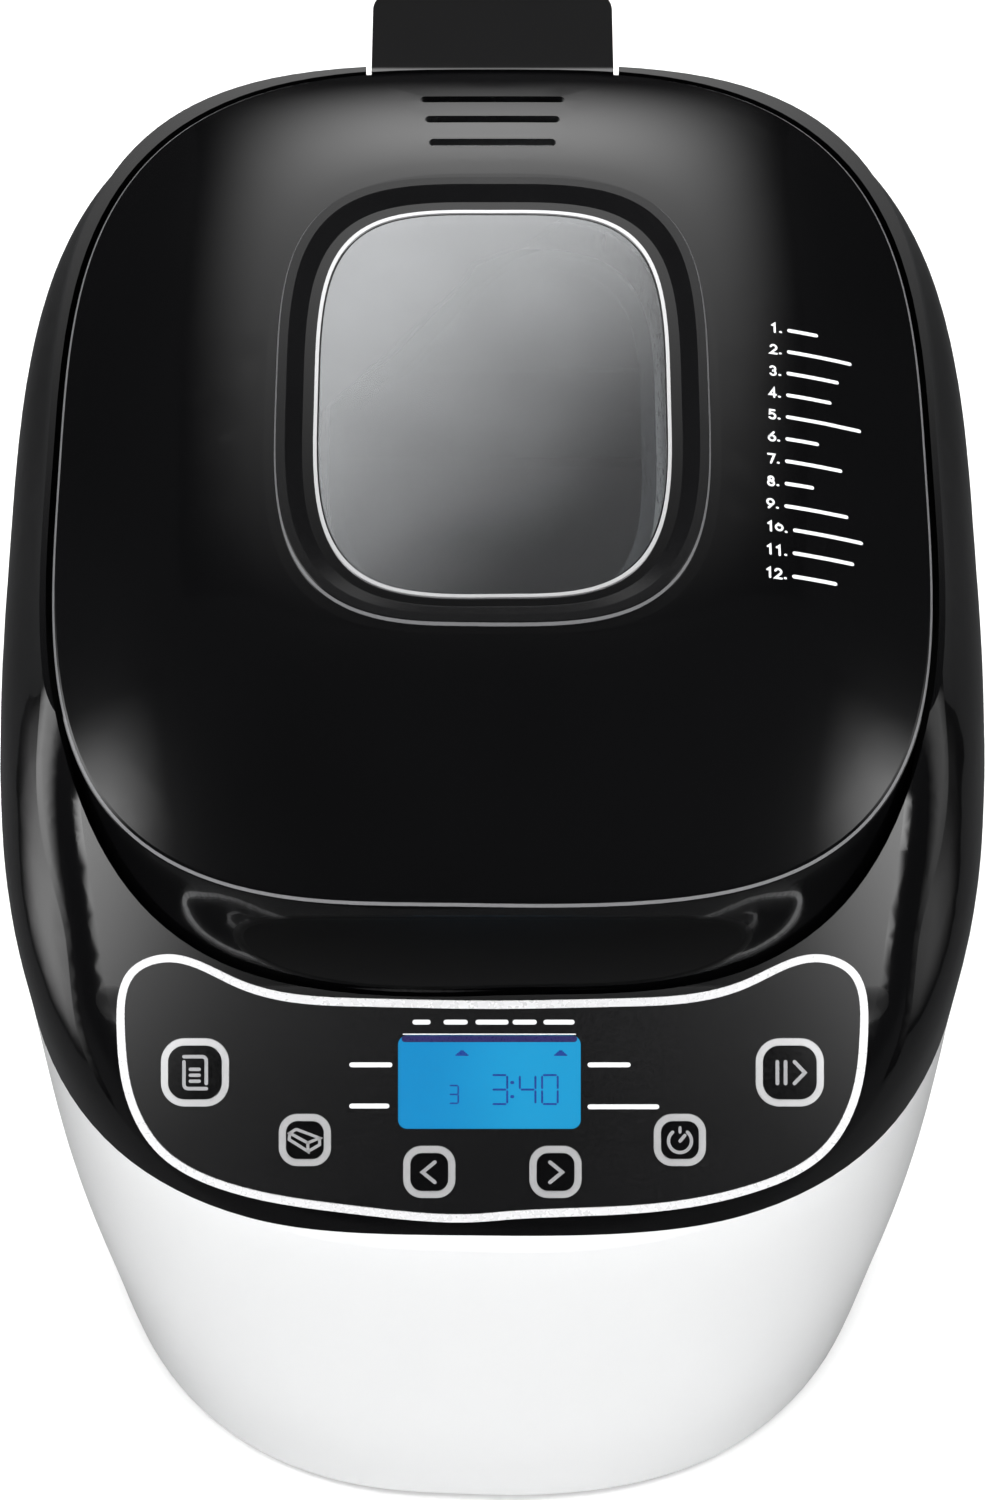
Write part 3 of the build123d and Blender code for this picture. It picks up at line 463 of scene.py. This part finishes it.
def on_lid():
    """Places a point of the plan view on the lid's crown or the window's frame."""
    corners = []
    faces = []
    for name in ("lid_shell", "window_frame"):
        mesh = nodes[name].data
        start = len(corners)
        corners += [vertex.co.copy() for vertex in mesh.vertices]
        faces += [tuple(start + index for index in face.vertices) for face in mesh.polygons]
    surface = BVHTree.FromPolygons(corners, faces)

    def place(x, y):
        above = Vector((x * MM, y * MM, RAY_START))
        hit, normal, _, _ = surface.ray_cast(above, Vector((0.0, 0.0, -1.0)))
        return hit + normal * (PRINT_LIFT * MM)
    return place


# The turns, in degrees, at which a stroke's rounded end has its points.
CAP_TURNS = (30, 55, 80)
# The least cosine that a mitre divides by, so that a sharp corner grows no spike.
MITRE_LIMIT = 0.4


def edge_pairs(points, width, closed):
    """The centre line's stations, each with its half-width vector, mitred at the corners."""
    count = len(points)
    stations = []
    for index in range(count):
        here = Vector(points[index])
        ahead = Vector(points[(index + 1) % count]) - here
        behind = here - Vector(points[index - 1])
        if not closed and index == 0:
            behind = ahead
        if not closed and index == count - 1:
            ahead = behind
        along = (ahead.normalized() + behind.normalized()).normalized()
        side = Vector((-along.y, along.x))
        square = Vector((-behind.y, behind.x)).normalized()
        stretch = 1.0 / max(MITRE_LIMIT, side.dot(square))
        stations.append((here, side * stretch * width / 2, along))
    return stations


def stroke_pairs(points, width, closed=False, step=1.0):
    """Left and right points along a stroke, with rounded ends when it is open."""
    stations = edge_pairs(points, width, closed)
    if closed:
        stations.append(stations[0])
    pairs = []
    radius = width / 2
    if not closed:
        here, side, along = stations[0]
        for turn in reversed(CAP_TURNS):
            back = along * (-radius * math.sin(math.radians(turn)))
            thin = side * math.cos(math.radians(turn))
            pairs.append((here + back + thin, here + back - thin))
    for (a, side_a, _), (b, side_b, _) in zip(stations, stations[1:]):
        pieces = max(1, math.ceil((b - a).length / step))
        for k in range(pieces):
            here = a.lerp(b, k / pieces)
            side = side_a.lerp(side_b, k / pieces)
            pairs.append((here + side, here - side))
    here, side, along = stations[-1]
    pairs.append((here + side, here - side))
    if not closed:
        for turn in CAP_TURNS:
            out = along * (radius * math.sin(math.radians(turn)))
            thin = side * math.cos(math.radians(turn))
            pairs.append((here + out + thin, here + out - thin))
    return pairs


def print_marks(name, strokes, place, material, body):
    """A thin film made of strokes: each is (points, width, closed)."""
    mesh = bpy.data.meshes.new(name)
    form = bmesh.new()
    for points, width, closed in strokes:
        previous = None
        for left, right in stroke_pairs(points, width, closed):
            pair = (form.verts.new(place(left.x, left.y)), form.verts.new(place(right.x, right.y)))
            if previous:
                form.faces.new((previous[0], previous[1], pair[1], pair[0]))
            previous = pair
    bmesh.ops.recalc_face_normals(form, faces=form.faces)
    form.to_mesh(mesh)
    form.free()
    piece = bpy.data.objects.new(name, mesh)
    bpy.context.scene.collection.objects.link(piece)
    film = piece.modifiers.new("film", "SOLIDIFY")
    film.thickness = PRINT_THICKNESS * MM
    film.offset = 0.0
    mesh.materials.append(material)
    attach(piece, body)
    return piece


def arc(x, y, radius, start, end, count):
    angles = [math.radians(start + (end - start) * k / count) for k in range(count + 1)]
    return [(x + radius * math.cos(a), y + radius * math.sin(a)) for a in angles]


def moved(strokes, x, y, factor=1.0):
    """The strokes scaled by the factor and moved to x, y, with their widths kept."""
    return [([(px * factor + x, py * factor + y) for px, py in points], width, closed)
            for points, width, closed in strokes]


def page_icon():
    upper = [(-2.9, 4.3)] + arc(2.0, 3.2, 1.1, 90, 0, 4) + [(3.1, -2.9)]
    lower = [(-2.9, 2.9)] + arc(-1.8, -3.2, 1.1, 180, 270, 4) + [(3.1, -4.3)]
    bars = [([(-1.2, v), (1.2, v)], 0.9, False) for v in (0.9, -0.7, -2.3)]
    return [(upper, 0.95, False), (lower, 0.95, False)] + bars


def start_icon():
    bars = [([(x, 2.9), (x, -2.9)], 1.0, False) for x in (-3.4, -1.2)]
    return bars + [([(1.2, 2.9), (4.0, 0.0), (1.2, -2.9)], 1.0, False)]


def loaf_icon():
    top = [(-4.0, 1.9)] + arc(-2.2, 1.9, 1.0, 120, 60, 3) + [(4.0, 0.6), (0.8, -0.7)]
    left = [(-4.0, 1.9), (-4.2, 0.2), (0.9, -3.0), (0.8, -0.7)]
    right = [(4.0, 0.6), (4.0, -1.2), (0.9, -3.0)]
    return [(top, 0.8, True), (left, 0.8, False), (right, 0.8, False)]


def timer_icon():
    ring = arc(0, -0.2, 3.1, 130, 410, 22)
    hand = [(0.0, -0.2), (1.3, 1.3)]
    knob = [(0.0, 3.4), (0.0, 2.2)]
    return [(ring, 0.9, False), (hand, 0.9, False), (knob, 0.8, False)]


def chevron_icon(way):
    return [([(-1.5 * way, 2.7), (1.8 * way, 0.0), (-1.5 * way, -2.7)], 1.0, False)]


def make_icons(material):
    icons = {
        "menu": page_icon(),
        "start": start_icon(),
        "loaf": loaf_icon(),
        "timer": timer_icon(),
        "less": chevron_icon(-1),
        "more": chevron_icon(1),
    }
    place = on_panel(CAP_TOP + PRINT_LIFT)
    for name, strokes in icons.items():
        x, v = BUTTON_CENTRES[name]
        print_marks("icon_" + name, moved(strokes, x, v), place, material, "button_" + name)


# The ends of a digit's seven segments, in digit widths and half heights.
SEGMENTS = {
    "a": ((0.12, 2.0), (0.88, 2.0)),
    "b": ((1.0, 1.88), (1.0, 1.12)),
    "c": ((1.0, 0.88), (1.0, 0.12)),
    "d": ((0.12, 0.0), (0.88, 0.0)),
    "e": ((0.0, 0.88), (0.0, 0.12)),
    "f": ((0.0, 1.88), (0.0, 1.12)),
    "g": ((0.12, 1.0), (0.88, 1.0)),
}
DIGITS = {"0": "abcdef", "3": "abgcd", "4": "fgbc"}


def lcd_digit(digit, x, v, width, height, line):
    strokes = []
    for key in DIGITS[digit]:
        ends = [(x + px * width, v + py * height / 2) for px, py in SEGMENTS[key]]
        strokes.append((ends, line, False))
    return strokes


def level_bar(start, end, v, width):
    """One stroke that runs level from start to end at the height v."""
    return ([(start, v), (end, v)], width, False)


def pointer(x, v):
    """A small filled triangle, pointing up, made of stacked bars."""
    step, line, half_base, taper = 0.36, 0.42, 1.6, 0.42
    halves = [half_base - taper * k for k in range(4)]
    return [level_bar(x - half, x + half, v + step * k, line) for k, half in enumerate(halves)]


def make_display_marks(ink, painted_shadow_navy):
    """The programme number, the time with its colon, two pointers, and a navy strip along the upper edge
    that is painted shadow of the bezel's inner wall.
    """
    strokes = lcd_digit("3", -11.6, 32.2, 2.4, 4.8, 0.42)
    for digit, x in (("3", -0.2), ("4", 7.4), ("0", 13.4)):
        strokes += lcd_digit(digit, x, 32.0, 4.2, 7.8, 0.55)
    for v in (37.8, 34.0):
        strokes.append(level_bar(5.25, 5.45, v, 0.9))
    for x in (-8.2, 18.4):
        strokes += pointer(x, 45.2)
    place = on_panel(DISPLAY_TOP + PRINT_LIFT)
    print_marks("display_digits", strokes, place, ink, "housing")
    # Painted shadow: a navy strip where the bezel's inner wall shades the top of the display.
    print_marks("display_shade", [level_bar(-23.6, 22.0, 49.55, 1.7)], place, painted_shadow_navy, "housing")


# The panel's printed bars: the start, end and height of each, and their thickness.
LABEL_BARS = (
    (-20.9, -17.3, 54.1),
    (-12.5, -7.3, 54.1),
    (-3.9, 3.7, 54.1),
    (6.1, 11.3, 54.1),
    (14.4, 21.5, 54.1),
    (-37.9, -27.6, 42.6),
    (-37.9, -28.4, 31.5),
    (26.3, 36.6, 42.6),
    (26.3, 44.3, 31.3),
)
LABEL_THICKNESS = 1.3
# A painted highlight along the top edge of the display's bezel: its start, end, height and thickness.
BEZEL_HIGHLIGHT_LINE = (-24.0, 22.4, 50.85, 0.3)


def make_panel_marks(material):
    """Bars that stand for the words round the display, and a thin pale line above it that is a painted
    highlight on the bezel's top edge.
    """
    strokes = [level_bar(start, end, v, LABEL_THICKNESS) for start, end, v in LABEL_BARS]
    strokes.append(level_bar(*BEZEL_HIGHLIGHT_LINE))
    print_marks("panel_labels", strokes, on_panel(FASCIA_TOP + PRINT_LIFT), material, "housing")


# The strokes of each numeral in a cell 2 wide and 3 high: the points, and whether they close.
NUMERALS = {
    "0": [(arc(1.0, 1.5, 0.95, 90, 450, 16), True)],
    "1": [([(0.5, 2.4), (1.2, 3.0), (1.2, 0.0)], False)],
    "2": [(arc(1.0, 2.15, 0.85, 165, -40, 10) + [(0.1, 0.0), (1.9, 0.0)], False)],
    "3": [(arc(0.9, 2.25, 0.75, 150, -80, 9) + arc(0.9, 0.78, 0.8, 80, -150, 9), False)],
    "4": [([(1.9, 0.8), (0.1, 0.8), (1.4, 3.0), (1.4, 0.0)], False)],
    "5": [([(1.7, 3.0), (0.4, 3.0), (0.3, 1.7)] + arc(0.9, 0.95, 0.95, 110, -140, 10), False)],
    "6": [([(1.6, 3.0)] + arc(1.0, 0.95, 0.92, 160, 520, 18), False)],
    "7": [([(0.1, 3.0), (1.9, 3.0), (0.8, 0.0)], False)],
    "8": [(arc(1.0, 2.28, 0.7, -90, 270, 14), True), (arc(1.0, 0.82, 0.85, 90, 450, 16), True)],
    "9": [([(0.4, 0.0)] + arc(1.0, 2.05, 0.92, -20, 340, 18), False)],
}
# The list's first and last rows in plan, how far each row falls per millimetre, and its bars' lengths.
LIST_FIRST = (78.8, 46.2)
LIST_LAST = (74.6, -34.9)
LIST_LEAN = 0.10
LIST_WORDS = (8.4, 18.0, 14.4, 12.4, 20.8, 9.0, 15.6, 7.8, 17.4, 19.0, 16.6, 12.0)
NUMERAL_SIZE = 0.95
NUMERAL_LINE = 0.62
NUMERAL_PITCH = 2.5


def make_program_list(material):
    """Twelve numbered lines on the lid's right; plain bars stand for the words."""
    strokes = []
    lid = on_lid()

    def place(x, y):
        return lid(x, y - LIST_LEAN * (x - LIST_LAST[0]))

    for row, length in enumerate(LIST_WORDS):
        share = row / (len(LIST_WORDS) - 1)
        x = LIST_FIRST[0] + (LIST_LAST[0] - LIST_FIRST[0]) * share
        y = LIST_FIRST[1] + (LIST_LAST[1] - LIST_FIRST[1]) * share
        for digit in str(row + 1):
            for points, closed in NUMERALS[digit]:
                strokes += moved([(points, NUMERAL_LINE, closed)], x, y, NUMERAL_SIZE)
            x += NUMERAL_PITCH
        strokes.append(level_bar(x + 0.2, x + 0.4, y + 0.3, 0.65))
        strokes.append(level_bar(x + 2.8, x + 2.0 + length, y + 1.25, 1.15))
    print_marks("program_list", strokes, place, material, "lid")


def soft_rectangle(half_x, front, rear, n_front, n_rear, count):
    """Points all round a soft rectangle, from its rear, with a roundness of its own at each end."""
    points = []
    for k in range(count):
        angle = math.radians(90.0 + 360.0 * k / count)
        across, along = math.cos(angle), math.sin(angle)
        power = 2.0 / (n_front if along < 0 else n_rear)
        x = half_x * math.copysign(abs(across) ** power, across)
        y = (front + rear) / 2 + (rear - front) / 2 * math.copysign(abs(along) ** power, along)
        points.append((x, y))
    return points


# Half the width, in plan, that the rear tongue takes out of the lid's painted edge highlight.
TONGUE_HALF = 38.5


def make_painted_edge_highlights(material):
    """Painted highlights: the pale line that runs round the lid's top edge, and the one round the window's
    frame, standing for light caught on their bevels.
    """
    lid = on_lid()
    # The lid's edge line is a painted highlight along its bevel.
    lid_highlight_path = [(x, y) for x, y in soft_rectangle(121.2, -128.0, 147.0, 3.5, 3.1, 360)
           if abs(x) > TONGUE_HALF or y < 0]
    print_marks("lid_edge_painted_highlight", [(lid_highlight_path, 0.55, False)], lid, material, "lid")
    frame_highlight_path = soft_rectangle(60.6, -51.1, 98.1, 3.4, 3.6, 180)
    print_marks("window_edge_painted_highlight", [(frame_highlight_path, 0.45, True)], lid, material, "lid")


# ---- floor --------------------------------------------------------------------------------------
# The flat part's radius, the cove's radius, the wall's top and the sides all round, in metres.
FLOOR_RADIUS = 4.5
COVE_RADIUS = 2.0
WALL_TOP = 9.0
FLOOR_TURNS = 64


def make_floor():
    """A wide pale floor that curves up into a wall all round, far from the object."""
    mesh = bpy.data.meshes.new("floor")
    form = bmesh.new()
    profile = [(0.5, 0.0), (2.0, 0.0), (FLOOR_RADIUS, 0.0)]
    for degrees in range(10, 91, 10):
        turn = math.radians(degrees)
        profile.append((FLOOR_RADIUS + COVE_RADIUS * math.sin(turn), COVE_RADIUS * (1.0 - math.cos(turn))))
    profile.append((FLOOR_RADIUS + COVE_RADIUS, WALL_TOP))
    rings = []
    for radius, z in profile:
        angles = [2 * math.pi * k / FLOOR_TURNS for k in range(FLOOR_TURNS)]
        rings.append([form.verts.new((radius * math.cos(a), radius * math.sin(a), z)) for a in angles])
    form.faces.new(rings[0])
    for inner, outer in zip(rings, rings[1:]):
        for k in range(FLOOR_TURNS):
            form.faces.new((inner[k - 1], inner[k], outer[k], outer[k - 1]))
    bmesh.ops.recalc_face_normals(form, faces=form.faces)
    form.to_mesh(mesh)
    form.free()
    for face in mesh.polygons:
        face.use_smooth = True
    floor = bpy.data.objects.new("floor", mesh)
    bpy.context.scene.collection.objects.link(floor)
    material = shaded("floor_paper", (0.90, 0.90, 0.90), 0.9, 0.03, 0.01, 4.0, 500.0, 0.02,
                      Emission_Color=(1.0, 1.0, 1.0, 1.0), Emission_Strength=0.20)
    mesh.materials.append(material)
    floor.visible_glossy = False


make_camera()
make_world()
make_lights()
make_floor()
bpy.context.scene.view_settings.view_transform = "Standard"
materials = make_materials()
dress_nodes(materials)
make_icons(materials["icon_silver"])
make_display_marks(materials["lcd_ink"], materials["lcd_painted_shadow_navy"])
make_panel_marks(materials["print_white"])
make_program_list(materials["print_white"])
make_painted_edge_highlights(materials["painted_highlight_grey"])
